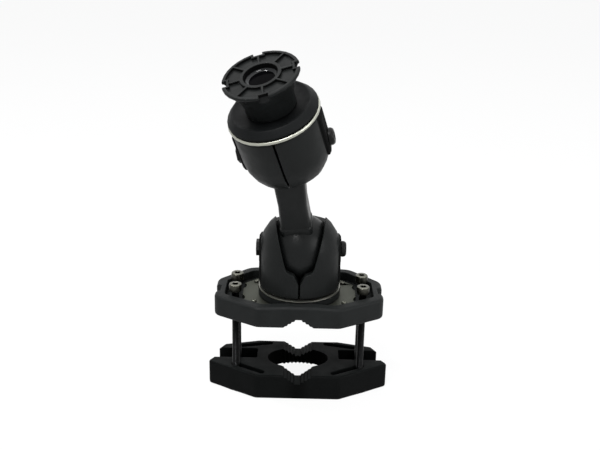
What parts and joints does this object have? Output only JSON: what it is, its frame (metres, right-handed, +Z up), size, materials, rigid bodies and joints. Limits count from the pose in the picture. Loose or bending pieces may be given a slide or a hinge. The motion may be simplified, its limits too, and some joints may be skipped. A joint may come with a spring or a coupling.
{
  "type": "handlebar phone mount",
  "caption": "Handlebar phone mount: bolted V-jaw clamp, ball arm held in two split swivel turrets with cross screws, and a notched round lock disc for the phone case.",
  "frame": {"origin": "on the axis of the clamped bar, midway between the roots of the two V notches", "axes": "+Z up from the lower jaw towards the turrets, Y along the clamped bar with the front at -Y, X across the jaws towards the screw heads"},
  "size_m": [0.0994, 0.0874, 0.1917],
  "materials": {
    "lower_jaw_plastic": "matt black moulding",
    "upper_jaw_plastic": "satin charcoal moulding",
    "shell_plastic": "satin charcoal moulding",
    "arm_plastic": "matt black moulding",
    "collar_plastic": "satin black moulding",
    "disc_plastic": "matt dark grey moulding",
    "plug_plastic": "glossy black",
    "ring_metal": "satin silver",
    "plate_steel": "dull rolled steel",
    "bolt_steel": "plain steel",
    "screw_black": "black oxide steel",
    "bush_brass": "turned brass"
  },
  "bodies": {
    "base": {"upper_jaw": "upper_jaw_plastic", "base_plate": "plate_steel", "plate_screw_1": "bolt_steel", "plate_screw_2": "bolt_steel", "plate_screw_3": "bolt_steel", "plate_screw_4": "bolt_steel", "turret_flange": "collar_plastic"},
    "jaw": {"lower_jaw": "lower_jaw_plastic", "jaw_nut_1": "bolt_steel", "jaw_nut_2": "bolt_steel", "jaw_nut_3": "bolt_steel", "jaw_nut_4": "bolt_steel"},
    "bolt_1": {"jaw_bolt_1": "bolt_steel"},
    "bolt_2": {"jaw_bolt_2": "bolt_steel"},
    "bolt_3": {"jaw_bolt_3": "bolt_steel"},
    "bolt_4": {"jaw_bolt_4": "bolt_steel"},
    "turret": {"turret_ring": "ring_metal", "turret_shell_left": "shell_plastic", "turret_shell_right": "shell_plastic", "turret_nut": "screw_black"},
    "turret_screw": {"turret_screw": "screw_black"},
    "turret_bush": {"turret_bush": "bush_brass"},
    "arm": {"ball_arm": "arm_plastic"},
    "head_bush": {"head_bush": "bush_brass"},
    "head_socket": {"head_shell_left": "shell_plastic", "head_shell_right": "shell_plastic", "head_ring": "ring_metal", "head_nut": "screw_black"},
    "head_screw": {"head_screw": "screw_black"},
    "head": {"head_flange": "collar_plastic", "head_collar": "collar_plastic", "lock_disc": "disc_plastic", "centre_plug": "plug_plastic"}
  },
  "joints": [
    {"name": "jaw_slide", "type": "slide", "parent": "base", "child": "jaw", "axis": [0, 0, 1], "range_m": [0, 0.028]},
    {"name": "bolt_1_turn", "type": "hinge", "parent": "base", "child": "bolt_1", "pos_m": [-0.0344, -0.0076, 0], "axis": [0, 0, -1], "range_deg": [0, 14401]},
    {"name": "bolt_2_turn", "type": "hinge", "parent": "base", "child": "bolt_2", "pos_m": [0.0344, -0.0076, 0], "axis": [0, 0, -1], "range_deg": [0, 14401]},
    {"name": "bolt_3_turn", "type": "hinge", "parent": "base", "child": "bolt_3", "pos_m": [-0.0344, 0.0076, 0], "axis": [0, 0, -1], "range_deg": [0, 14401]},
    {"name": "bolt_4_turn", "type": "hinge", "parent": "base", "child": "bolt_4", "pos_m": [0.0344, 0.0076, 0], "axis": [0, 0, -1], "range_deg": [0, 14401]},
    {"name": "turret_swivel", "type": "hinge", "parent": "base", "child": "turret", "pos_m": [0, 0, 0.0509], "axis": [0, 0, 1], "continuous": true},
    {"name": "turret_screw_turn", "type": "hinge", "parent": "turret", "child": "turret_screw", "pos_m": [0, 0, 0.0509], "axis": [1, 0, 0], "continuous": true},
    {"name": "arm_tilt", "type": "hinge", "parent": "turret", "child": "turret_bush", "pos_m": [0, 0, 0.0509], "axis": [1, 0, 0], "range_deg": [-30, 11.5]},
    {"name": "arm_lean", "type": "hinge", "parent": "turret_bush", "child": "arm", "pos_m": [0, 0, 0.0509], "axis": [0, 0.9239, 0.3827], "range_deg": [-0.3, 14.3]},
    {"name": "head_lean", "type": "hinge", "parent": "arm", "child": "head_bush", "pos_m": [-0.00853, -0.02659, 0.11509], "axis": [0, 0.9239, 0.3827], "range_deg": [-0.2, 16.5]},
    {"name": "head_tilt", "type": "hinge", "parent": "head_bush", "child": "head_socket", "pos_m": [-0.00853, -0.02659, 0.11509], "axis": [0.965, -0.1003, 0.2422], "range_deg": [-28, 4.6]},
    {"name": "head_screw_turn", "type": "hinge", "parent": "head_socket", "child": "head_screw", "pos_m": [-0.00853, -0.02659, 0.11509], "axis": [0.965, -0.1003, 0.2422], "continuous": true},
    {"name": "head_swivel", "type": "hinge", "parent": "head_socket", "child": "head", "pos_m": [-0.00853, -0.02659, 0.11509], "axis": [-0.2621, -0.3886, 0.8833], "continuous": true}
  ],
  "couplings": [
    {"joint": "bolt_1_turn", "follows": "jaw_slide", "rad_per_m": 8976},
    {"joint": "bolt_2_turn", "follows": "jaw_slide", "rad_per_m": 8976},
    {"joint": "bolt_3_turn", "follows": "jaw_slide", "rad_per_m": 8976},
    {"joint": "bolt_4_turn", "follows": "jaw_slide", "rad_per_m": 8976}
  ]
}
